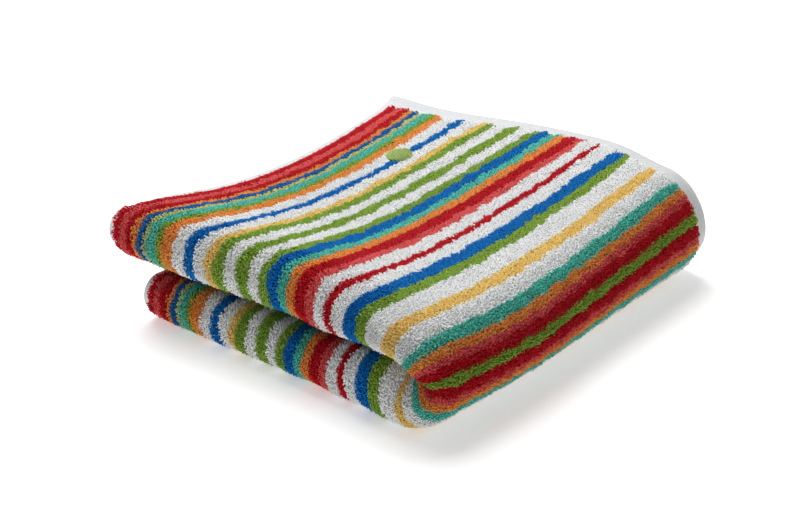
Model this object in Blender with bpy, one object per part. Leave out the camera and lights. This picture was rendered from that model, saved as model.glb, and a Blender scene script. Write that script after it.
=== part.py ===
"""A striped terry guest towel, folded in thirds along its length and then in half across.

The flat cloth is a grid of points. The first fold lays it in three layers, the second doubles
them into six, and soft swells then move the neat fold to the uneven one that is seen.
X runs along the stripes, from the front rolls to the hem. Y runs from the second fold to the
selvedges. Z is up, and the lowest layer lies flat at z = 0.
"""
import math
from collections import namedtuple

import bpy
import numpy as np

# The cloth laid flat: along the stripes, across them, and through the pile of both faces
CLOTH_LENGTH = 0.500
CLOTH_WIDTH = 0.295
TERRY_THICKNESS = 0.0054
BORDER_THICKNESS = 0.0020
HEM_BAND = 0.0065
SELVEDGE = 0.0025
PILE_RISE = 0.003

# The folds: the distance between layers, the length of the folded pile, and how far the second
# fold lies from the centre line of the cloth
LAYER_PITCH = 0.0064
FOLDED_LENGTH = 0.170
FOLD_OFFSET = 0.0033

# How far along the cloth, on each side of the second fold, the upper half starts to move alone
HALF_BLEND = 0.014

# Steps between the points of the grid
FLAT_STEP = 0.015
CORNER_STEP = 0.005
FLAT_STEP_ACROSS = 0.0125
ROLL_STEPS = 10
BACK_ROLL_STEPS = 6
FOLD_STEPS = 24

TERRY_COLOUR = (0.68, 0.69, 0.67, 1.0)
TERRY_ROUGHNESS = 0.95

# Each swell has its half of the towel, the height where its rise is full, its centre and reach in the
# neat fold, and its movement
Swell = namedtuple("Swell", "name half height x y reach_x reach_y move_x move_y move_z")
SWELLS = [
    Swell("left tip", "upper", "top", 0.000, 0.145, 0.040, 0.040, 0.0010, 0.0135, 0.0045),
    Swell("tip underside", "upper", "middle", 0.000, 0.145, 0.030, 0.030, 0.0000, 0.0000, 0.0015),
    Swell("front roll", "upper", "top", 0.000, 0.075, 0.040, 0.045, 0.0060, 0.0025, 0.0045),
    Swell("front corner", "upper", "top", 0.000, 0.005, 0.040, 0.040, 0.0000, 0.0060, -0.0020),
    Swell("left edge", "upper", "top", 0.085, 0.145, 0.045, 0.040, 0.0000, -0.0030, 0.0010),
    Swell("middle", "upper", "top", 0.085, 0.075, 0.045, 0.045, 0.0000, 0.0030, -0.0035),
    Swell("fold", "upper", "top", 0.085, 0.005, 0.045, 0.040, 0.0000, 0.0020, -0.0025),
    Swell("far corner", "upper", "top", 0.170, 0.145, 0.045, 0.040, -0.0045, 0.0063, -0.0002),
    Swell("far tip", "upper", "top", 0.170, 0.145, 0.009, 0.016, 0.0000, 0.0037, 0.0022),
    Swell("hem", "upper", "top", 0.170, 0.075, 0.045, 0.045, 0.0040, -0.0040, 0.0040),
    Swell("hem bulge", "upper", "top", 0.170, 0.045, 0.035, 0.022, 0.0015, 0.0000, 0.0018),
    Swell("right corner", "upper", "top", 0.170, 0.005, 0.045, 0.040, -0.0025, 0.0025, 0.0016),
    Swell("left tip", "lower", "top", 0.000, 0.145, 0.040, 0.040, 0.0035, 0.0072, 0.0000),
    Swell("front roll", "lower", "top", 0.000, 0.075, 0.040, 0.045, 0.0035, 0.0010, 0.0000),
    Swell("front corner", "lower", "top", 0.000, 0.005, 0.040, 0.040, -0.0005, 0.0065, 0.0000),
    Swell("right corner", "lower", "top", 0.170, 0.005, 0.045, 0.040, -0.0040, -0.0030, 0.0000),
    Swell("corner crease", "both", "middle", 0.000, 0.030, 0.030, 0.018, 0.0000, 0.0000, 0.0045),
    Swell("corner sink", "both", "middle", 0.000, 0.009, 0.030, 0.007, 0.0000, 0.0000, -0.0024),
    Swell("corner round", "both", "top", 0.000, 0.000, 0.014, 0.012, 0.0030, 0.0000, 0.0000),
    Swell("right end", "both", "middle", 0.170, 0.000, 0.050, 0.025, 0.0000, 0.0000, 0.0018),
]

# The crease between the two front rolls ends in a dent in the front corner
DENT_DEPTH = 0.0075
DENT_Y = 0.0140
DENT_REACH_X = 0.014
DENT_REACH_Y = 0.0090
DENT_REACH_Z = 0.0042

# Sizes that follow from the ones above
HALF_THICKNESS = TERRY_THICKNESS / 2
BACK_RADIUS = LAYER_PITCH / 2
ROLL_CENTRE_X = LAYER_PITCH + HALF_THICKNESS
BACK_CENTRE_X = FOLDED_LENGTH - BACK_RADIUS - HALF_THICKNESS
TOP_RUN = FOLDED_LENGTH - ROLL_CENTRE_X
ROLL_RUN = math.pi * LAYER_PITCH
MIDDLE_RUN = BACK_CENTRE_X - ROLL_CENTRE_X
BACK_RUN = math.pi * BACK_RADIUS
ROLL_START = TOP_RUN
ROLL_END = ROLL_START + ROLL_RUN
BACK_START = ROLL_END + MIDDLE_RUN
BACK_END = BACK_START + BACK_RUN
STACK_RADIUS = 1.5 * LAYER_PITCH
OUTER_RADIUS = 2.5 * LAYER_PITCH
FOLD_CENTRE_Y = OUTER_RADIUS + HALF_THICKNESS
FOLD_CENTRE_Z = OUTER_RADIUS + HALF_THICKNESS
QUARTER_RUN = OUTER_RADIUS * math.pi / 2
STACK_HEIGHT = 2 * FOLD_CENTRE_Z


def ease(t):
    """Zero below 0, one above 1, and a smooth rise between."""
    t = np.clip(t, 0.0, 1.0)
    return t * t * (3.0 - 2.0 * t)


def half_thickness(along, across):
    """Half the cloth's thickness: thin in the woven borders, full in the terry."""
    from_hem = np.minimum(along, CLOTH_LENGTH - along)
    from_selvedge = CLOTH_WIDTH / 2 - np.abs(across)
    terry = ease((from_hem - HEM_BAND) / PILE_RISE) * ease((from_selvedge - SELVEDGE) / PILE_RISE)
    return (BORDER_THICKNESS + (TERRY_THICKNESS - BORDER_THICKNESS) * terry) / 2


def first_fold(along):
    """X and level of the cloth in three layers, and its outward direction there.

    The top layer runs from the hem to the front roll, the roll turns it under, the lower layer
    runs back, and a tight roll brings the last third between the two.
    """
    if along < ROLL_START:
        return FOLDED_LENGTH - along, LAYER_PITCH, 0.0, 1.0
    if along < ROLL_END:
        turn = (along - ROLL_START) / LAYER_PITCH
        out_x, out_level = -math.sin(turn), math.cos(turn)
        return ROLL_CENTRE_X + LAYER_PITCH * out_x, LAYER_PITCH * out_level, out_x, out_level
    if along < BACK_START:
        return ROLL_CENTRE_X + along - ROLL_END, -LAYER_PITCH, 0.0, -1.0
    if along < BACK_END:
        turn = (along - BACK_START) / BACK_RADIUS
        out_x, out_level = math.sin(turn), -math.cos(turn)
        return BACK_CENTRE_X + BACK_RADIUS * out_x, BACK_RADIUS * (out_level - 1.0), out_x, out_level
    return BACK_CENTRE_X - (along - BACK_END), 0.0, 0.0, 1.0


def second_fold(across, level):
    """Y and z of a point of the three layers, at a level above their middle one."""
    run = np.abs(across)
    angle = np.minimum(run, QUARTER_RUN) / OUTER_RADIUS
    radius = STACK_RADIUS + level
    y = FOLD_CENTRE_Y - radius * np.cos(angle) + np.maximum(run - QUARTER_RUN, 0.0)
    z = FOLD_CENTRE_Z + np.sign(across) * radius * np.sin(angle)
    return y, z


def swell(x, y, z, across):
    """Move the neat fold by the swells, which leave the underside flat, and by the dent."""
    upper = ease((across + HALF_BLEND) / (2 * HALF_BLEND))
    weight = {"upper": upper, "lower": 1.0 - upper, "both": 1.0}
    rise = {"top": z / STACK_HEIGHT, "middle": 4.0 * z / STACK_HEIGHT * (1.0 - z / STACK_HEIGHT)}
    moved_x, moved_y, moved_z = x.copy(), y.copy(), z.copy()
    for row in SWELLS:
        share = np.exp(-((x - row.x) / row.reach_x) ** 2 - ((y - row.y) / row.reach_y) ** 2)
        share = share * weight[row.half]
        moved_x += row.move_x * share
        moved_y += row.move_y * share
        moved_z += row.move_z * share * rise[row.height]
    dent = (x / DENT_REACH_X) ** 2 + ((y - DENT_Y) / DENT_REACH_Y) ** 2
    dent = dent + ((z - FOLD_CENTRE_Z) / DENT_REACH_Z) ** 2
    moved_x += DENT_DEPTH * np.exp(-dent)
    return moved_x, moved_y, moved_z


def cloth_face(stations, columns, side):
    """One face of the folded cloth, as rows of points: side is 1 outside and -1 inside."""
    across = np.asarray(columns)
    rows = []
    for along in stations:
        x, level, out_x, out_level = first_fold(along)
        lift = side * half_thickness(along, across)
        y, z = second_fold(across + FOLD_OFFSET, level + out_level * lift)
        rows.append(np.stack(swell(x + out_x * lift, y, z, across + FOLD_OFFSET), axis=-1))
    return np.array(rows)


def spread(start, end, step):
    """Even steps from start up to end, leaving the end out."""
    count = max(1, round((end - start) / step))
    return [start + (end - start) * i / count for i in range(count)]


def stations_along():
    """Where the grid has points along the cloth, from the outer hem to the inner one."""
    border = [0.0, HEM_BAND, HEM_BAND + PILE_RISE / 2]
    top = spread(HEM_BAND + PILE_RISE, ROLL_START - FLAT_STEP, FLAT_STEP)
    top += spread(ROLL_START - FLAT_STEP, ROLL_START, CORNER_STEP)
    roll = spread(ROLL_START, ROLL_END, ROLL_RUN / ROLL_STEPS)
    middle = spread(ROLL_END, ROLL_END + FLAT_STEP, CORNER_STEP)
    middle += spread(ROLL_END + FLAT_STEP, BACK_START, FLAT_STEP)
    back = spread(BACK_START, BACK_END, BACK_RUN / BACK_ROLL_STEPS)
    inner = spread(BACK_END, CLOTH_LENGTH - HEM_BAND - PILE_RISE, FLAT_STEP)
    last = [CLOTH_LENGTH - HEM_BAND - PILE_RISE, CLOTH_LENGTH - HEM_BAND - PILE_RISE / 2]
    return border + top + roll + middle + back + inner + last + [CLOTH_LENGTH - HEM_BAND, CLOTH_LENGTH]


def columns_across():
    """Where the grid has points across the cloth, from the lower selvedge to the upper one."""
    edge = CLOTH_WIDTH / 2
    terry_edge = edge - SELVEDGE - PILE_RISE
    lower_turn = -QUARTER_RUN - FOLD_OFFSET
    upper_turn = QUARTER_RUN - FOLD_OFFSET
    lower = [-edge, SELVEDGE - edge, -terry_edge - PILE_RISE / 2]
    lower += spread(-terry_edge, lower_turn, FLAT_STEP_ACROSS)
    turn = spread(lower_turn, upper_turn, 2 * QUARTER_RUN / FOLD_STEPS)
    upper = spread(upper_turn, terry_edge, FLAT_STEP_ACROSS)
    return lower + turn + upper + [terry_edge, terry_edge + PILE_RISE / 2, edge - SELVEDGE, edge]


def sheet_mesh(name, outer, inner):
    """A closed sheet from its two faces, with a rim of faces round its edge."""
    rows, columns = outer.shape[:2]
    inner_start = rows * columns
    faces = []
    for i in range(rows - 1):
        for j in range(columns - 1):
            corner = i * columns + j
            quad = (corner, corner + 1, corner + columns + 1, corner + columns)
            faces.append(quad)
            faces.append(tuple(inner_start + point for point in reversed(quad)))
    edge = list(range(columns))
    edge += [i * columns + columns - 1 for i in range(1, rows)]
    edge += [(rows - 1) * columns + j for j in range(columns - 2, -1, -1)]
    edge += [i * columns for i in range(rows - 2, 0, -1)]
    for this, following in zip(edge, edge[1:] + edge[:1]):
        faces.append((following, this, inner_start + this, inner_start + following))
    points = np.concatenate([outer.reshape(-1, 3), inner.reshape(-1, 3)])
    mesh = bpy.data.meshes.new(name)
    mesh.from_pydata(points.tolist(), [], faces)
    mesh.update()
    return mesh


def terry_material():
    """Soft, matt, undyed cotton."""
    material = bpy.data.materials.new("terry")
    material.use_nodes = True
    shader = material.node_tree.nodes["Principled BSDF"]
    shader.inputs["Base Color"].default_value = TERRY_COLOUR
    shader.inputs["Roughness"].default_value = TERRY_ROUGHNESS
    shader.inputs["Metallic"].default_value = 0.0
    return material


def make_towel():
    """The folded towel, standing on z = 0 with its box centred on the origin."""
    stations, columns = stations_along(), columns_across()
    outer = cloth_face(stations, columns, 1)
    inner = cloth_face(stations, columns, -1)
    points = np.concatenate([outer.reshape(-1, 3), inner.reshape(-1, 3)])
    centre = (points.min(axis=0) + points.max(axis=0)) / 2
    centre[2] = 0.0
    towel = bpy.data.objects.new("towel", sheet_mesh("towel", outer - centre, inner - centre))
    towel.data.materials.append(terry_material())
    towel.data.shade_smooth()
    bpy.context.scene.collection.objects.link(towel)
    return towel


for old in list(bpy.data.objects):
    bpy.data.objects.remove(old)
make_towel()
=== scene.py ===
"""The folded guest towel as it looks: a woven ground with flat borders, and the pile that stands on it.

The cloth is laid out flat as it is for the CAD solid: along the stripes from the outer hem, across
them from the centre line, and lifted from its middle surface. All of it goes through the same two
folds and the same swells as the solid, so it lies where the solid is.
"""
import math
from collections import namedtuple

import bpy
import numpy as np
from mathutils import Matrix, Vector


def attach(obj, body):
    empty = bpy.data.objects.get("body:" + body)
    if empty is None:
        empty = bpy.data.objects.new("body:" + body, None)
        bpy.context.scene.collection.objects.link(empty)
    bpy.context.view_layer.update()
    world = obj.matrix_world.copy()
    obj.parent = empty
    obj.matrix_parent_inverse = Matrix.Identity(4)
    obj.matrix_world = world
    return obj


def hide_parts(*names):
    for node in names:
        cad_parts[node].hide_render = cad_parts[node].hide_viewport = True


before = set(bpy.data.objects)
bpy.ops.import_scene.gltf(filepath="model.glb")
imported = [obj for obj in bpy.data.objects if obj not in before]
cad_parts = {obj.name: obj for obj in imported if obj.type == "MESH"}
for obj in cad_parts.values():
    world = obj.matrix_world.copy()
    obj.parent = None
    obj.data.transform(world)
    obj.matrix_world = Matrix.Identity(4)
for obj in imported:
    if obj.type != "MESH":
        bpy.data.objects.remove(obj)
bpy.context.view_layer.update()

SEED = 11
MILLIMETRE = 0.001

# The cloth laid flat
CLOTH_LENGTH = 0.500
CLOTH_WIDTH = 0.295
HEM_BAND = 0.0065
SELVEDGE = 0.0025
PILE_RISE = 0.003
TERRY_THICKNESS = 0.0054
BORDER_THICKNESS = 0.0020
GROUND_THICKNESS = 0.0030

# The folds, as the solid has them
LAYER_PITCH = 0.0064
FOLDED_LENGTH = 0.170
FOLD_OFFSET = 0.0033
HALF_BLEND = 0.014

# Each swell has its half of the towel, the height where its rise is full, its centre and reach in the
# neat fold, and its movement
Swell = namedtuple("Swell", "name half height x y reach_x reach_y move_x move_y move_z")
SWELLS = [
    Swell("left tip", "upper", "top", 0.000, 0.145, 0.040, 0.040, 0.0010, 0.0135, 0.0045),
    Swell("tip underside", "upper", "middle", 0.000, 0.145, 0.030, 0.030, 0.0000, 0.0000, 0.0015),
    Swell("front roll", "upper", "top", 0.000, 0.075, 0.040, 0.045, 0.0060, 0.0025, 0.0045),
    Swell("front corner", "upper", "top", 0.000, 0.005, 0.040, 0.040, 0.0000, 0.0060, -0.0020),
    Swell("left edge", "upper", "top", 0.085, 0.145, 0.045, 0.040, 0.0000, -0.0030, 0.0010),
    Swell("middle", "upper", "top", 0.085, 0.075, 0.045, 0.045, 0.0000, 0.0030, -0.0035),
    Swell("fold", "upper", "top", 0.085, 0.005, 0.045, 0.040, 0.0000, 0.0020, -0.0025),
    Swell("far corner", "upper", "top", 0.170, 0.145, 0.045, 0.040, -0.0045, 0.0063, -0.0002),
    Swell("far tip", "upper", "top", 0.170, 0.145, 0.009, 0.016, 0.0000, 0.0037, 0.0022),
    Swell("hem", "upper", "top", 0.170, 0.075, 0.045, 0.045, 0.0040, -0.0040, 0.0040),
    Swell("hem bulge", "upper", "top", 0.170, 0.045, 0.035, 0.022, 0.0015, 0.0000, 0.0018),
    Swell("right corner", "upper", "top", 0.170, 0.005, 0.045, 0.040, -0.0025, 0.0025, 0.0016),
    Swell("left tip", "lower", "top", 0.000, 0.145, 0.040, 0.040, 0.0035, 0.0072, 0.0000),
    Swell("front roll", "lower", "top", 0.000, 0.075, 0.040, 0.045, 0.0035, 0.0010, 0.0000),
    Swell("front corner", "lower", "top", 0.000, 0.005, 0.040, 0.040, -0.0005, 0.0065, 0.0000),
    Swell("right corner", "lower", "top", 0.170, 0.005, 0.045, 0.040, -0.0040, -0.0030, 0.0000),
    Swell("corner crease", "both", "middle", 0.000, 0.030, 0.030, 0.018, 0.0000, 0.0000, 0.0045),
    Swell("corner sink", "both", "middle", 0.000, 0.009, 0.030, 0.007, 0.0000, 0.0000, -0.0024),
    Swell("corner round", "both", "top", 0.000, 0.000, 0.014, 0.012, 0.0030, 0.0000, 0.0000),
    Swell("right end", "both", "middle", 0.170, 0.000, 0.050, 0.025, 0.0000, 0.0000, 0.0018),
]

# The crease between the two front rolls ends in a dent in the front corner
DENT_DEPTH = 0.0075
DENT_Y = 0.0140
DENT_REACH_X = 0.014
DENT_REACH_Y = 0.0090
DENT_REACH_Z = 0.0042

# The stripes from a selvedge to the centre line of the cloth, mirrored on its other half
Stripe = namedtuple("Stripe", "colour width")
STRIPES = [
    Stripe("white", 0.0025),
    Stripe("red", 0.0032),
    Stripe("coral", 0.0031),
    Stripe("red", 0.0030),
    Stripe("orange", 0.0018),
    Stripe("dark blue", 0.0025),
    Stripe("olive", 0.0016),
    Stripe("teal", 0.0032),
    Stripe("green", 0.0020),
    Stripe("orange", 0.0042),
    Stripe("white", 0.0045),
    Stripe("blue", 0.0039),
    Stripe("white", 0.0042),
    Stripe("yellow", 0.0030),
    Stripe("green", 0.0041),
    Stripe("white", 0.0046),
    Stripe("green", 0.0051),
    Stripe("white", 0.0045),
    Stripe("green", 0.0037),
    Stripe("blue", 0.0045),
    Stripe("teal", 0.0036),
    Stripe("orange", 0.0038),
    Stripe("red", 0.0050),
    Stripe("coral", 0.0038),
    Stripe("white", 0.0054),
    Stripe("red", 0.0038),
    Stripe("white", 0.0059),
    Stripe("blue", 0.0062),
    Stripe("green", 0.0053),
    Stripe("white", 0.0084),
    Stripe("yellow", 0.0061),
    Stripe("white", 0.0060),
    Stripe("teal", 0.0041),
    Stripe("orange", 0.0029),
    Stripe("coral", 0.0023),
    Stripe("red", 0.0038),
    Stripe("green", 0.0019),
]

# Dyed cotton: the pale and the deep shade of each yarn
Shade = namedtuple("Shade", "pale deep")
YARNS = {
    "white": Shade((0.94, 0.95, 0.94), (0.89, 0.90, 0.90)),
    "red": Shade((0.66, 0.010, 0.022), (0.48, 0.004, 0.012)),
    "coral": Shade((0.88, 0.15, 0.14), (0.70, 0.080, 0.085)),
    "orange": Shade((0.93, 0.40, 0.10), (0.84, 0.25, 0.045)),
    "blue": Shade((0.001, 0.22, 0.64), (0.001, 0.13, 0.43)),
    "dark blue": Shade((0.006, 0.18, 0.50), (0.003, 0.11, 0.34)),
    "olive": Shade((0.78, 0.68, 0.22), (0.58, 0.50, 0.12)),
    "teal": Shade((0.15, 0.66, 0.54), (0.060, 0.48, 0.38)),
    "green": Shade((0.32, 0.50, 0.07), (0.19, 0.34, 0.035)),
    "yellow": Shade((0.95, 0.72, 0.26), (0.90, 0.58, 0.13)),
}
YARN_NAMES = list(YARNS)
WHITE = YARN_NAMES.index("white")
STITCH_SHADE = Shade((0.42, 0.53, 0.19), (0.24, 0.35, 0.08))

# A strand of the pile: its width, where along it its knuckle lies, how high its tip ends, how much
# lower it stands where the terry begins, how steep it can get, and how far from the middle of the
# cloth it may reach between two layers
STRAND_WIDTH = 0.00046
KNUCKLE_RUN = 0.60
TIP_RISE = 0.72
RISE_AT_BORDER = 0.45
LEAST_RUN = 0.30
MOST_LIFT_INSIDE = 0.0031

# How much one strand differs from the next in length, width and tilt
LENGTH_SPREAD = (0.75, 1.25)
WIDTH_SPREAD = (0.8, 1.2)
TILT_SPREAD = (-0.5, 0.5)

# How wide the random patches are in which strands lean alike and stand alike
HEADING_PATCH = 0.011
HEIGHT_PATCH = 0.009

# How far the edges of the stripes waver, and over what distance: in small teeth, in short waves and in
# slow ones, and from strand to strand
TOOTH = 0.00017
TOOTH_SCALE = 0.0016
WAVE = 0.00045
WAVE_SCALE = 0.006
SLOW_WAVE = 0.00030
SLOW_WAVE_SCALE = 0.022
STRAND_WAVER = 0.00012

# How the pile lies on the brushed flats and on the rolls and edges: the length of its strands, where
# they start, how unevenly they end, where they head to, the spread of their headings, how far the
# white pile spreads over the stripes beside it, and how much the stripes' edges waver
Lay = namedtuple("Lay", "length root_lift tip_jitter heading patch_heading heading_scatter bloom waver")
BRUSHED = Lay(0.0018, 0.0020, 0.00010, 2.10, 0.35, 0.30, 0.00035, 1.0)
STANDING = Lay(0.0016, 0.0014, 0.00020, 0.00, 0.50, 0.60, 0.00005, 0.5)
LAY_CHANGE = 0.022

# By a selvedge the strands start unevenly, lean out over it, and are longer
FRINGE_MARGIN = 0.0006
FRINGE_MARGIN_SCALE = 0.007
FRINGE_REACH = 0.003
FRINGE_HEADING = 1.50
FRINGE_EXTRA = 0.0004

# Where the pile starts behind a hem, how much further in by the selvedges, and how unevenly
PILE_START = 0.0080
PILE_START_BY_SELVEDGE = 0.0034
PILE_START_JITTER = 0.0009
PILE_START_SCALE = 0.004

# The stripes beside white ones taper at their ends
TAPER = 0.0012
TAPER_REACH = 0.009

# Round the second fold each stripe is a soft rib, and the one on the centre line a raised cord
RIB_DEPTH = 0.30
CORD_GROOVE = 0.50
CORD_GROOVE_WIDTH = 0.0013

# The rolled edge of the upper selvedge stands higher than its weave
SELVEDGE_ROLL = 0.0014
SELVEDGE_ROLL_END = 0.158
SELVEDGE_ROLL_FADE = 0.020

# Round the second fold the stripes ride up, but less where the cloth bulges near the front
RIDE_UP = 0.0014
RIDE_REACH_ACROSS = 0.030
SLIP = 0.0020
SLIP_ALONG = 0.125
SLIP_REACH_ALONG = 0.035

# A plain round field of stitches on the top: its place on the flat cloth, radius, threads and height
STITCH_ALONG = 0.0529
STITCH_ACROSS = 0.1157
STITCH_RADIUS = 0.0058
STITCH_PITCH = 0.0009
STITCH_LIFT = 0.0027
STITCH_HEIGHT = 0.0007
STITCH_STEPS = 6

# Sizes that follow from the ones above
HALF_TERRY = TERRY_THICKNESS / 2
BACK_RADIUS = LAYER_PITCH / 2
ROLL_CENTRE_X = LAYER_PITCH + HALF_TERRY
BACK_CENTRE_X = FOLDED_LENGTH - BACK_RADIUS - HALF_TERRY
ROLL_START = FOLDED_LENGTH - ROLL_CENTRE_X
ROLL_END = ROLL_START + math.pi * LAYER_PITCH
BACK_START = ROLL_END + BACK_CENTRE_X - ROLL_CENTRE_X
BACK_END = BACK_START + math.pi * BACK_RADIUS
STACK_RADIUS = 1.5 * LAYER_PITCH
OUTER_RADIUS = 2.5 * LAYER_PITCH
FOLD_CENTRE = OUTER_RADIUS + HALF_TERRY
QUARTER_RUN = OUTER_RADIUS * math.pi / 2
STACK_HEIGHT = 2 * FOLD_CENTRE
EDGE = CLOTH_WIDTH / 2
WIDER_FROM = 0.4 * EDGE
WIDER_OVER = EDGE / 3.0

# The parts of the cloth that carry modelled pile: its face, where it starts and ends, and its
# density in strands for each square millimetre
Zone = namedtuple("Zone", "name face along_from along_to across_from across_to density")
INSIDE_REACH = 0.014
MOUTH_REACH = 0.006
GAP_START = ROLL_END + MOUTH_REACH + INSIDE_REACH
ZONES = [
    Zone("pile_top_far", 1, 0.0, ROLL_START / 2, QUARTER_RUN, EDGE, 4.2),
    Zone("pile_top_near", 1, ROLL_START / 2, ROLL_START, QUARTER_RUN, EDGE, 4.2),
    Zone("pile_fold", 1, 0.0, ROLL_START, -QUARTER_RUN, QUARTER_RUN, 4.6),
    Zone("pile_roll", 1, ROLL_START, ROLL_END + MOUTH_REACH, -EDGE, EDGE, 4.4),
    Zone("pile_mouth", 1, ROLL_END + MOUTH_REACH, GAP_START, -EDGE, EDGE, 1.8),
    Zone("pile_under", 1, 0.0, ROLL_START, -EDGE, -QUARTER_RUN, 1.2),
    Zone("pile_gap_left", 1, GAP_START, CLOTH_LENGTH, EDGE - INSIDE_REACH, EDGE, 1.5),
    Zone("pile_gap_low", 1, GAP_START, CLOTH_LENGTH, -EDGE, INSIDE_REACH - EDGE, 1.5),
    Zone("pile_inner_left", -1, 0.0, CLOTH_LENGTH, EDGE - INSIDE_REACH, EDGE, 1.1),
    Zone("pile_inner_low", -1, 0.0, CLOTH_LENGTH, -EDGE, INSIDE_REACH - EDGE, 1.1),
    Zone("pile_back", 1, BACK_START - INSIDE_REACH / 2, BACK_END + INSIDE_REACH / 2,
         INSIDE_REACH - EDGE, EDGE - INSIDE_REACH, 1.3),
    Zone("pile_under_hem", -1, 0.0, INSIDE_REACH, INSIDE_REACH - EDGE, EDGE - INSIDE_REACH, 1.1),
]

# The steps of the woven ground: across a stripe, near a hem, where the border ends, on the outer
# flats, round a turn, on the middle layer and on the hidden one
COLUMN_STEP = 0.0035
HEM_STEP = 0.0021
BORDER_STEP = 0.0011
FLAT_STEP = 0.005
TURN_STEP = 0.001
INNER_STEP = 0.0075
HIDDEN_STEP = 0.009

# How many places along the cloth are taken to find the middle of the part
CENTRE_SAMPLES = 400

# Light: a big soft lamp above and behind, a weak low one in front, and the surround
Lamp = namedtuple("Lamp", "name place target size power")
LAMPS = [
    Lamp("overhead", (0.34, 0.56, 0.98), (0.0, 0.0, 0.0), 0.9, 16.6),
    Lamp("front fill", (-1.0, 0.10, 0.14), (0.0, 0.0, 0.01), 0.5, 0.6),
]
SURROUND_STRENGTH = 0.29
FLOOR_SIZE = 6.0
FLOOR_COLOUR = (0.90, 0.90, 0.90, 1.0)
FLOOR_GLOW = 0.40
WHITE_LIGHT = (1.0, 1.0, 1.0, 1.0)

# The camera, in the frame of the neat fold
CAMERA_PLACE = (-0.3460, -0.2495, 0.2870)
CAMERA_AZIMUTH = 38.0
CAMERA_DROP = 27.0
CAMERA_LENS = 72.0
CAMERA_SENSOR = 36.0


def ease(t):
    """Zero below 0, one above 1, and a smooth rise between."""
    t = np.clip(t, 0.0, 1.0)
    return t * t * (3.0 - 2.0 * t)


def first_fold(along):
    """X and level of the cloth in three layers, and its outward direction there."""
    turn = np.clip((along - ROLL_START) / LAYER_PITCH, 0.0, math.pi)
    back = np.clip((along - BACK_START) / BACK_RADIUS, 0.0, math.pi)
    parts = [along < ROLL_START, along < ROLL_END, along < BACK_START, along < BACK_END]
    one = np.ones_like(along)
    x = np.select(parts, [
        FOLDED_LENGTH - along,
        ROLL_CENTRE_X - LAYER_PITCH * np.sin(turn),
        ROLL_CENTRE_X + along - ROLL_END,
        BACK_CENTRE_X + BACK_RADIUS * np.sin(back),
    ], BACK_CENTRE_X - (along - BACK_END))
    level = np.select(parts, [
        LAYER_PITCH * one,
        LAYER_PITCH * np.cos(turn),
        -LAYER_PITCH * one,
        -BACK_RADIUS * (np.cos(back) + 1.0),
    ], 0.0)
    out_x = np.select(parts, [0.0 * one, -np.sin(turn), 0.0 * one, np.sin(back)], 0.0)
    out_level = np.select(parts, [one, np.cos(turn), -one, -np.cos(back)], 1.0)
    return x, level, out_x, out_level


def second_fold(across, level):
    """Y and z of a point of the three layers, at a level above their middle one."""
    run = np.abs(across)
    angle = np.minimum(run, QUARTER_RUN) / OUTER_RADIUS
    radius = STACK_RADIUS + level
    y = FOLD_CENTRE - radius * np.cos(angle) + np.maximum(run - QUARTER_RUN, 0.0)
    z = FOLD_CENTRE + np.sign(across) * radius * np.sin(angle)
    return y, z


def swell(x, y, z, across):
    """Move the neat fold by the swells, which fade with height towards the flat underside."""
    upper = ease((across + HALF_BLEND) / (2 * HALF_BLEND))
    weight = {"upper": upper, "lower": 1.0 - upper, "both": 1.0}
    moved_x, moved_y, moved_z = x.copy(), y.copy(), z.copy()
    rise = {"top": z / STACK_HEIGHT, "middle": 4.0 * z / STACK_HEIGHT * (1.0 - z / STACK_HEIGHT)}
    for row in SWELLS:
        share = np.exp(-((x - row.x) / row.reach_x) ** 2 - ((y - row.y) / row.reach_y) ** 2)
        share = share * weight[row.half]
        moved_x += row.move_x * share
        moved_y += row.move_y * share
        moved_z += row.move_z * share * rise[row.height]
    dent = (x / DENT_REACH_X) ** 2 + ((y - DENT_Y) / DENT_REACH_Y) ** 2
    dent = dent + ((z - FOLD_CENTRE) / DENT_REACH_Z) ** 2
    moved_x += DENT_DEPTH * np.exp(-dent)
    return moved_x, moved_y, moved_z


def folded(along, across, lift):
    """Where a point of the flat cloth lies in the folded towel. Lift is outward from its middle."""
    ride = RIDE_UP - SLIP * np.exp(-((along - SLIP_ALONG) / SLIP_REACH_ALONG) ** 2)
    across = across + FOLD_OFFSET + ride * np.exp(-(across / RIDE_REACH_ACROSS) ** 2)
    x, level, out_x, out_level = first_fold(along)
    y, z = second_fold(across, level + out_level * lift)
    return np.stack(swell(x + out_x * lift, y, z, across), axis=-1)


def terry_share(along, across):
    """Zero in the woven borders, one in the terry, with a soft rise between."""
    from_hem = np.minimum(along, CLOTH_LENGTH - along)
    from_selvedge = EDGE - np.abs(across)
    return ease((from_hem - HEM_BAND) / PILE_RISE) * ease((from_selvedge - SELVEDGE) / PILE_RISE)


def pile_start(across):
    """How far from a hem the pile starts, which is further by the selvedges."""
    return PILE_START + PILE_START_BY_SELVEDGE * ease((np.abs(across) - WIDER_FROM) / WIDER_OVER)


def neat_centre():
    """The middle of the folded solid's box in x and y, which is the origin of the part."""
    along, across = np.meshgrid(
        np.linspace(0, CLOTH_LENGTH, CENTRE_SAMPLES), np.linspace(-EDGE, EDGE, CENTRE_SAMPLES // 2))
    full = BORDER_THICKNESS + (TERRY_THICKNESS - BORDER_THICKNESS) * terry_share(along, across)
    faces = [folded(along, across, side * full / 2).reshape(-1, 3) for side in (1, -1)]
    points = np.concatenate(faces)
    centre = (points.min(axis=0) + points.max(axis=0)) / 2
    return np.array([centre[0], centre[1], 0.0])


def stripe_edges():
    """The stripes across the whole cloth: where each starts, where the last ends, and the yarns."""
    half = [row.width for row in STRIPES]
    widths = half + half[::-1]
    names = [row.colour for row in STRIPES]
    edges = -EDGE + np.concatenate([[0.0], np.cumsum(widths)])
    edges *= EDGE / edges[-1]
    return edges, np.array([YARN_NAMES.index(name) for name in names + names[::-1]])


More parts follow.
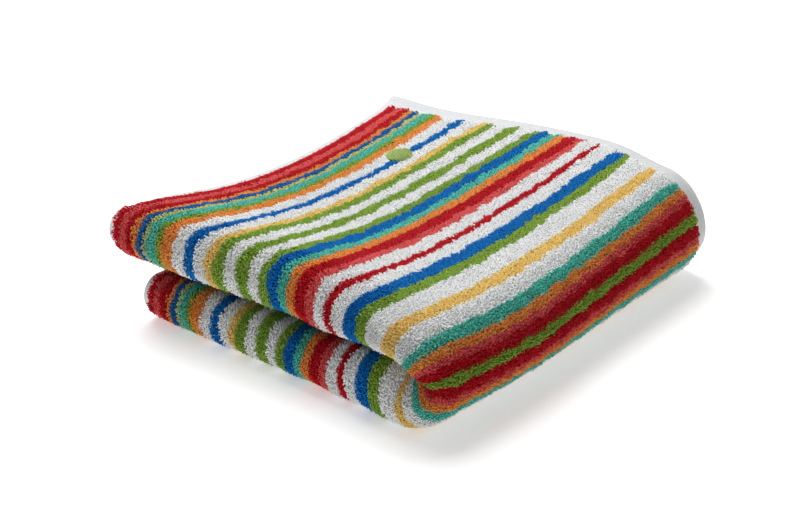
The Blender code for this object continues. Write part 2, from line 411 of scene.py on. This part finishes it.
def yarn_at(across, edges, yarns):
    """The yarn of the stripe at each place across the cloth, without the two selvedges."""
    return yarns[np.clip(np.searchsorted(edges, across) - 1, 1, len(yarns) - 2)]


def drift(a, b, scale, rng, waves=7):
    """A smooth random field over the flat cloth, mostly between -1 and 1, with bumps of one scale."""
    total = np.zeros_like(a)
    for _ in range(waves):
        heading = rng.uniform(0, 2 * math.pi)
        number = 2 * math.pi / (scale * rng.uniform(0.7, 1.5))
        phase = rng.uniform(0, 2 * math.pi)
        total += np.sin(number * (a * math.cos(heading) + b * math.sin(heading)) + phase)
    return total / math.sqrt(waves)


def scattered(zone, rng, thinning):
    """Even but unruled roots over a zone of the flat cloth."""
    length = zone.along_to - zone.along_from
    width = zone.across_to - zone.across_from
    spacing = MILLIMETRE / math.sqrt(zone.density * thinning)
    count_along = max(1, round(length / spacing))
    count_across = max(1, round(width / spacing))
    a, c = np.meshgrid(np.arange(count_along), np.arange(count_across), indexing="ij")
    a = (a + rng.uniform(0, 1, a.shape)) / count_along * length + zone.along_from
    c = (c + rng.uniform(0, 1, c.shape)) / count_across * width + zone.across_from
    return a.ravel(), c.ravel()


def mesh_from(name, points, corners, sizes, slots, materials):
    """A mesh from flat arrays of points, face corners, face sizes and material slots."""
    mesh = bpy.data.meshes.new(name)
    mesh.vertices.add(len(points))
    mesh.vertices.foreach_set("co", points.astype(np.float32).ravel())
    mesh.loops.add(len(corners))
    mesh.loops.foreach_set("vertex_index", corners.astype(np.int32))
    mesh.polygons.add(len(sizes))
    starts = np.concatenate([[0], np.cumsum(sizes)[:-1]])
    mesh.polygons.foreach_set("loop_start", starts.astype(np.int32))
    mesh.polygons.foreach_set("material_index", slots.astype(np.int32))
    for material in materials:
        mesh.materials.append(material)
    mesh.update(calc_edges=True)
    mesh.shade_smooth()
    piece = bpy.data.objects.new(name, mesh)
    bpy.context.scene.collection.objects.link(piece)
    return piece


def lay_of(along, across):
    """The lay of the pile at each root, as a row of values: brushed on the flats, standing on rolls."""
    from_roll = np.abs(np.minimum(along, ROLL_START) - ROLL_START)
    from_fold = np.maximum(np.abs(across) - QUARTER_RUN / 2, 0.0)
    flat = ease(np.minimum(from_roll, from_fold) / LAY_CHANGE)
    lay = Lay(*(stand + (brush - stand) * flat for brush, stand in zip(BRUSHED, STANDING)))
    heading = BRUSHED.heading * ease(from_roll / LAY_CHANGE)
    fringe = ease(1.0 - (EDGE - SELVEDGE - np.abs(across)) / FRINGE_REACH)
    heading = heading + (np.sign(across) * FRINGE_HEADING - heading) * fringe
    return lay._replace(heading=heading, length=lay.length + FRINGE_EXTRA * fringe)


def rib_height(across, edges):
    """How high the pile stands in its stripe: full on the flats, lower between the ribs by the fold."""
    stripe = np.clip(np.searchsorted(edges, across) - 1, 0, len(edges) - 2)
    place = 2.0 * (across - edges[stripe]) / (edges[stripe + 1] - edges[stripe]) - 1.0
    by_fold = 1.0 - ease((np.abs(across) - QUARTER_RUN / 2) / QUARTER_RUN)
    from_cord = np.abs(across) - STRIPES[-1].width
    groove = CORD_GROOVE * np.exp(-(from_cord / CORD_GROOVE_WIDTH) ** 2) * (from_cord > 0)
    return 1.0 - by_fold * np.maximum(RIB_DEPTH * place ** 4, groove)


def strand_pile(zone, rng, materials, centre, thinning):
    """The strands of one zone: short nubs with a knuckle near the top, which lean along the cloth."""
    along, across = scattered(zone, rng, thinning)
    edges, yarns = stripe_edges()
    from_hem = np.minimum(along, CLOTH_LENGTH - along)
    start = pile_start(across) + PILE_START_JITTER * drift(along, across, PILE_START_SCALE, rng)
    margin = SELVEDGE + FRINGE_MARGIN * (1.0 + drift(along, across, FRINGE_MARGIN_SCALE, rng))
    keep = (from_hem > start) & (EDGE - np.abs(across) > margin)
    along, across, from_hem = along[keep], across[keep], from_hem[keep]
    terry = terry_share(along, across)
    count = len(along)
    lay = lay_of(along, across)

    # How each strand leans: brushed patches, and a scatter in each
    heading = lay.heading + lay.patch_heading * drift(along, across, HEADING_PATCH, rng)
    heading += lay.heading_scatter * rng.normal(0, 1, count)
    length = lay.length * rng.uniform(*LENGTH_SPREAD, count)
    full = HALF_TERRY + lay.tip_jitter * (rng.normal(0, 1, count) + drift(along, across, HEIGHT_PATCH, rng))
    if zone.face < 0 or zone.along_from > ROLL_START:
        full = np.minimum(full, MOST_LIFT_INSIDE)
    rise = (full - lay.root_lift) * rib_height(across, edges)
    rise *= RISE_AT_BORDER + (1.0 - RISE_AT_BORDER) * terry
    run = np.sqrt(np.maximum(length ** 2 - rise ** 2, (LEAST_RUN * length) ** 2))
    step_along, step_across = np.cos(heading), np.sin(heading)

    # The yarn is that of the stripe under the knuckle of a strand that leans as its neighbours do
    waver = WAVE * drift(along, across, WAVE_SCALE, rng)
    waver += TOOTH * drift(along, across, TOOTH_SCALE, rng)
    waver += SLOW_WAVE * drift(along, across, SLOW_WAVE_SCALE, rng)
    waver = lay.waver * (waver + rng.normal(0, STRAND_WAVER, count))
    middle = across + KNUCKLE_RUN * lay.length * np.sin(lay.heading) + waver
    bloom = lay.bloom + TAPER * (1.0 - ease((from_hem - PILE_START) / TAPER_REACH))
    yarn = yarn_at(middle, edges, yarns)
    for side in (-1, 1):
        beside = yarn_at(middle + side * bloom, edges, yarns)
        yarn = np.where(beside == WHITE, WHITE, yarn)

    # A point at the root, the two ends of the knuckle and a point at the tip, all on the flat cloth
    half = STRAND_WIDTH / 2 * rng.uniform(*WIDTH_SPREAD, count)
    tilt = rng.uniform(*TILT_SPREAD, count)
    sheets = [(along, across, lay.root_lift)]
    for side in (-1, 1):
        wide, high = side * half * np.cos(tilt), side * half * np.sin(tilt)
        sheets.append((
            along + KNUCKLE_RUN * run * step_along - wide * step_across,
            across + KNUCKLE_RUN * run * step_across + wide * step_along,
            lay.root_lift + rise + high,
        ))
    tip_lift = lay.root_lift + TIP_RISE * rise
    sheets.append((along + run * step_along, across + run * step_across, tip_lift))
    points = np.stack([folded(a, c, zone.face * lift) for a, c, lift in sheets], axis=1) - centre
    points[..., 2] = np.maximum(points[..., 2], 0.0)

    fans = [(0, 1, 2), (3, 2, 1), (0, 3, 1), (3, 0, 2)]
    if zone.face < 0:
        fans = [fan[::-1] for fan in fans]
    pattern = np.array(fans).ravel()
    corners = (pattern[None, :] + len(sheets) * np.arange(count)[:, None]).ravel()
    sizes = np.full(count * len(fans), 3)
    slots = np.repeat(yarn, len(fans))
    return mesh_from(zone.name, points.reshape(-1, 3), corners, sizes, slots, materials)


def even_steps(start, end, step):
    """Even steps from start to end, both kept."""
    return np.linspace(start, end, max(1, round((end - start) / step)) + 1)


def ground_cloth(materials, border, centre):
    """The woven ground: a closed sheet with a column of faces for each part of a stripe."""
    edges, yarns = stripe_edges()
    columns, column_yarn = [], []
    for start, end, yarn in zip(edges[:-1], edges[1:], yarns):
        steps = even_steps(start, end, COLUMN_STEP)[:-1]
        columns.extend(steps)
        column_yarn.extend([yarn] * len(steps))
    columns.append(edges[-1])
    columns, column_yarn = np.array(columns), np.array(column_yarn)
    widest_border = PILE_START + PILE_START_BY_SELVEDGE
    rows = np.unique(np.concatenate([
        even_steps(0.0, PILE_START, HEM_STEP),
        even_steps(PILE_START, widest_border, BORDER_STEP),
        even_steps(widest_border, ROLL_START, FLAT_STEP),
        even_steps(ROLL_START, ROLL_END, TURN_STEP),
        even_steps(ROLL_END, BACK_START, INNER_STEP),
        even_steps(BACK_START, BACK_END, TURN_STEP),
        even_steps(BACK_END, CLOTH_LENGTH - widest_border, HIDDEN_STEP),
        even_steps(CLOTH_LENGTH - widest_border, CLOTH_LENGTH, HEM_STEP),
    ]).round(7))
    along, across = np.meshgrid(rows, columns, indexing="ij")
    terry = terry_share(along, across)
    from_hem = np.minimum(along, CLOTH_LENGTH - along)
    rolled = SELVEDGE_ROLL * (1.0 - ease((EDGE - across - SELVEDGE) / PILE_RISE))
    rolled = rolled * ease((from_hem - HEM_BAND) / PILE_RISE)
    rolled = rolled * ease((SELVEDGE_ROLL_END - along) / SELVEDGE_ROLL_FADE)
    lift = BORDER_THICKNESS / 2 + (lay_of(along, across).root_lift - BORDER_THICKNESS / 2) * terry
    depth = (BORDER_THICKNESS + (GROUND_THICKNESS - BORDER_THICKNESS) * terry) / 2
    outer = folded(along, across, lift + rolled).reshape(-1, 3)
    inner = folded(along, across, -depth).reshape(-1, 3)
    points = np.concatenate([outer, inner]) - centre
    points[:, 2] = np.maximum(points[:, 2], 0.0)

    row_count, column_count = along.shape
    i, j = np.meshgrid(np.arange(row_count - 1), np.arange(column_count - 1), indexing="ij")
    corner = (i * column_count + j).ravel()
    quads = np.stack([corner, corner + 1, corner + column_count + 1, corner + column_count], axis=1)
    flipped = quads[:, ::-1] + row_count * column_count
    middle = ((rows[:-1] + rows[1:]) / 2)[i.ravel()]
    column_middle = ((columns[:-1] + columns[1:]) / 2)[j.ravel()]
    is_hem = np.minimum(middle, CLOTH_LENGTH - middle) < pile_start(column_middle)
    is_selvedge = EDGE - np.abs(column_middle) < SELVEDGE
    slot = np.where(is_hem | is_selvedge, len(materials), column_yarn[j.ravel()])

    rim = list(range(column_count))
    rim += [k * column_count + column_count - 1 for k in range(1, row_count)]
    rim += [(row_count - 1) * column_count + k for k in range(column_count - 2, -1, -1)]
    rim += [k * column_count for k in range(row_count - 2, 0, -1)]
    rim = np.array(rim)
    after = np.roll(rim, -1)
    shift = row_count * column_count
    sides = np.stack([after, rim, shift + rim, shift + after], axis=1)
    faces = np.concatenate([quads, flipped, sides])
    slots = np.concatenate([slot, slot, np.full(len(sides), len(materials))])
    sizes = np.full(len(faces), 4)
    return mesh_from("towel_cloth", points, faces.ravel(), sizes, slots, materials + [border])


def stitched_field(material, centre):
    """A round field of flat stitches laid side by side across the stripes, each a ridged thread."""
    profile = [(-STITCH_PITCH / 2, 0.0), (0.0, STITCH_HEIGHT), (STITCH_PITCH / 2, 0.0)]
    sides = len(profile)
    points, corners, sizes = [], [], []
    for offset in np.arange(STITCH_PITCH / 2 - STITCH_RADIUS, STITCH_RADIUS, STITCH_PITCH):
        reach = math.sqrt(STITCH_RADIUS ** 2 - offset ** 2)
        first = len(points)
        for step in np.linspace(-1.0, 1.0, STITCH_STEPS + 1):
            fall = STITCH_HEIGHT * step ** 4
            across = STITCH_ACROSS + reach * step
            points.extend((STITCH_ALONG + offset + wide, across, STITCH_LIFT + high - fall)
                          for wide, high in profile)
        for step in range(STITCH_STEPS):
            ring = first + step * sides
            for side in range(sides):
                after = (side + 1) % sides
                corners.extend([ring + side, ring + after, ring + sides + after, ring + sides + side])
                sizes.append(4)
        last = first + STITCH_STEPS * sides
        corners.extend([first + 2, first + 1, first, last, last + 1, last + 2])
        sizes.extend([3, 3])
    along, across, lift = np.array(points).T
    placed = folded(along, across, lift) - centre
    slots = np.zeros(len(sizes))
    return mesh_from("stitched_field", placed, np.array(corners), np.array(sizes), slots, [material])


def link_noise(tree, scale, detail, roughness):
    """A noise texture in the object's own coordinates."""
    nodes, links = tree.nodes, tree.links
    place = nodes.new("ShaderNodeTexCoord")
    noise = nodes.new("ShaderNodeTexNoise")
    noise.inputs["Scale"].default_value = scale
    noise.inputs["Detail"].default_value = detail
    noise.inputs["Roughness"].default_value = roughness
    links.new(place.outputs["Object"], noise.inputs["Vector"])
    return noise


def shaded(tree, noise, pale, deep, low, high):
    """A colour between the deep and the pale shade, by the noise."""
    ramp = tree.nodes.new("ShaderNodeValToRGB")
    ramp.color_ramp.elements[0].position = low
    ramp.color_ramp.elements[0].color = (*deep, 1.0)
    ramp.color_ramp.elements[1].position = high
    ramp.color_ramp.elements[1].color = (*pale, 1.0)
    tree.links.new(noise.outputs["Fac"], ramp.inputs["Fac"])
    return ramp.outputs["Color"]


def add_bump(tree, height, strength, distance, shader):
    """Bump on a shader from a height."""
    bump = tree.nodes.new("ShaderNodeBump")
    bump.inputs["Strength"].default_value = strength
    bump.inputs["Distance"].default_value = distance
    tree.links.new(height, bump.inputs["Height"])
    tree.links.new(bump.outputs["Normal"], shader.inputs["Normal"])


def yarn_material(name, shade):
    """Dyed cotton yarn: matt, softly bright at the rim, uneven in shade from strand to strand."""
    material = bpy.data.materials.new("yarn_" + name.replace(" ", "_"))
    material.use_nodes = True
    material.diffuse_color = (*shade.pale, 1.0)
    tree = material.node_tree
    shader = tree.nodes["Principled BSDF"]
    shader.inputs["Roughness"].default_value = 0.92
    shader.inputs["Specular IOR Level"].default_value = 0.08
    shader.inputs["Sheen Weight"].default_value = 0.05
    shader.inputs["Sheen Roughness"].default_value = 0.5
    noise = link_noise(tree, 1400.0, 3.0, 0.6)
    shader.inputs["Base Color"].default_value = (*shade.pale, 1.0)
    tree.links.new(shaded(tree, noise, shade.pale, shade.deep, 0.34, 0.62), shader.inputs["Base Color"])
    add_bump(tree, noise.outputs["Fac"], 0.35, 0.0002, shader)
    return material


def border_material():
    """The woven borders: undyed plain weave, with a fine random noise in tone and bump."""
    material = bpy.data.materials.new("woven_border")
    material.use_nodes = True
    tree = material.node_tree
    shader = tree.nodes["Principled BSDF"]
    shader.inputs["Roughness"].default_value = 0.85
    shader.inputs["Specular IOR Level"].default_value = 0.2
    shader.inputs["Sheen Weight"].default_value = 0.1
    noise = link_noise(tree, 700.0, 4.0, 0.6)
    colour = shaded(tree, noise, (0.70, 0.71, 0.71), (0.60, 0.61, 0.62), 0.3, 0.7)
    tree.links.new(colour, shader.inputs["Base Color"])
    add_bump(tree, noise.outputs["Fac"], 0.4, 0.0002, shader)
    return material


def make_floor():
    """A plain pale floor."""
    mesh = bpy.data.meshes.new("floor")
    half = FLOOR_SIZE / 2
    corners = [(-half, -half, 0), (half, -half, 0), (half, half, 0), (-half, half, 0)]
    mesh.from_pydata(corners, [], [(0, 1, 2, 3)])
    floor = bpy.data.objects.new("floor", mesh)
    bpy.context.scene.collection.objects.link(floor)
    material = bpy.data.materials.new("pale_floor")
    material.use_nodes = True
    shader = material.node_tree.nodes["Principled BSDF"]
    shader.inputs["Base Color"].default_value = FLOOR_COLOUR
    shader.inputs["Emission Color"].default_value = WHITE_LIGHT
    shader.inputs["Emission Strength"].default_value = FLOOR_GLOW
    shader.inputs["Roughness"].default_value = 0.9
    shader.inputs["Specular IOR Level"].default_value = 0.1
    mesh.materials.append(material)
    return floor


def add_lamp(row):
    """A soft square light that looks at a target."""
    light = bpy.data.lights.new(row.name, "AREA")
    light.size = row.size
    light.energy = row.power
    lamp = bpy.data.objects.new(row.name, light)
    lamp.location = row.place
    lamp.rotation_euler = (Vector(row.target) - Vector(row.place)).to_track_quat("-Z", "Y").to_euler()
    bpy.context.scene.collection.objects.link(lamp)


def light_studio():
    """The two soft lamps and an even pale surround."""
    for row in LAMPS:
        add_lamp(row)
    world = bpy.data.worlds.new("surround")
    world.use_nodes = True
    background = world.node_tree.nodes["Background"]
    background.inputs["Color"].default_value = WHITE_LIGHT
    background.inputs["Strength"].default_value = SURROUND_STRENGTH
    bpy.context.scene.world = world
    bpy.context.scene.view_settings.view_transform = "Standard"


def add_camera(centre):
    """The photograph's viewpoint: level, turned to the right and looking down."""
    data = bpy.data.cameras.new("camera")
    data.lens = CAMERA_LENS
    data.sensor_width = CAMERA_SENSOR
    data.sensor_fit = "HORIZONTAL"
    camera = bpy.data.objects.new("camera", data)
    camera.location = Vector(CAMERA_PLACE) - Vector(centre)
    turn, drop = math.radians(CAMERA_AZIMUTH), math.radians(CAMERA_DROP)
    look = Vector((math.cos(turn) * math.cos(drop), math.sin(turn) * math.cos(drop), -math.sin(drop)))
    camera.rotation_euler = look.to_track_quat("-Z", "Y").to_euler()
    bpy.context.scene.collection.objects.link(camera)
    bpy.context.scene.camera = camera


def build():
    """The towel, its pile, the floor, the lights and the camera."""
    centre = neat_centre()
    rng = np.random.default_rng(SEED)
    yarns = [yarn_material(name, YARNS[name]) for name in YARN_NAMES]
    border = border_material()
    cloth = ground_cloth(yarns, border, centre)
    thinning = 1.0
    piles = [strand_pile(zone, rng, yarns, centre, thinning) for zone in ZONES]
    field = stitched_field(yarn_material("stitch", STITCH_SHADE), centre)
    for piece in [cloth, field] + piles:
        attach(piece, "root")
    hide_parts("towel")
    floor = make_floor()
    light_studio()
    add_camera(centre)


build()
